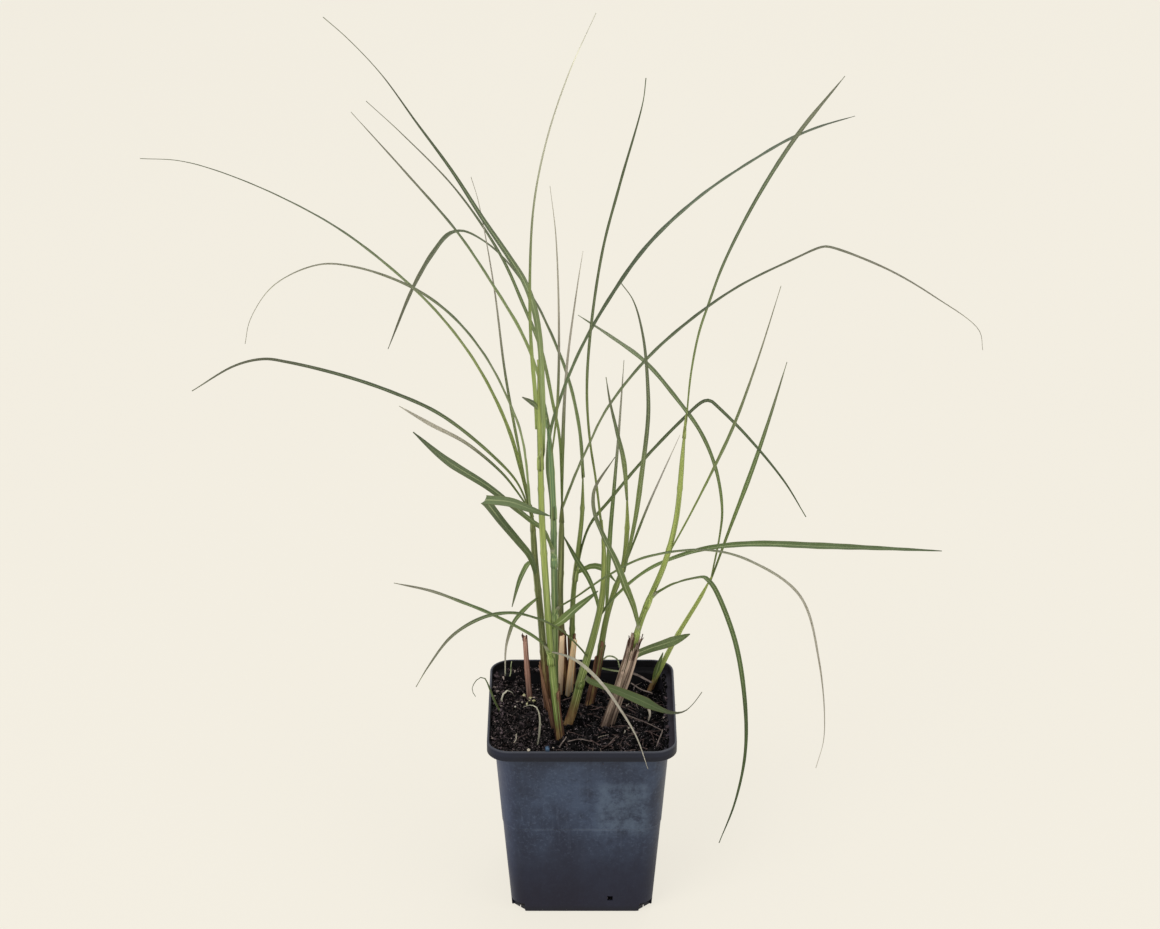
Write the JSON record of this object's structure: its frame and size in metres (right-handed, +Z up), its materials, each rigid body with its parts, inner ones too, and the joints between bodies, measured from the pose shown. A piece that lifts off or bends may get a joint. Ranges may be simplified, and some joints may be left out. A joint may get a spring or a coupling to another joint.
{
  "type": "potted ornamental grass",
  "caption": "Young slender miscanthus grass with arching narrow blades on jointed stems, standing in soil in a square tapered nursery pot",
  "frame": {"origin": "middle of the pot's base, on the surface that the pot stands on", "axes": "+Z up along the plant, -Y to the front that the picture shows, +X to its right"},
  "size_m": [0.3861, 0.2208, 0.438],
  "materials": {
    "pot": "satin, dusty",
    "soil": "rough, crumbly",
    "green_blade": "satin",
    "dead_sheath": "matte, fibrous",
    "cane": "matte",
    "dry_leaf": "matte",
    "pale_shoot": "satin"
  },
  "bodies": {
    "root": {"pot": "pot", "soil": "soil", "leafy_stem_front": "green_blade", "leafy_stem_tall": "green_blade", "leafy_stem_middle": "green_blade", "leafy_stem_left": "green_blade", "leafy_stem_low": "green_blade", "leafy_stem_back": "green_blade", "leafy_stem_forked": "green_blade", "leafy_stem_right": "green_blade", "leafy_stem_far_right": "green_blade", "dead_sheath_bundle": "dead_sheath", "dead_sheath_pale": "dead_sheath", "dead_sheath_brown": "dead_sheath", "cut_cane": "cane", "dry_leaf": "dry_leaf", "pale_shoot_front": "pale_shoot", "pale_shoot_left": "pale_shoot", "curled_blade_left": "green_blade", "short_leaf_right": "green_blade", "dead_twig": "dead_sheath"}
  },
  "joints": []
}
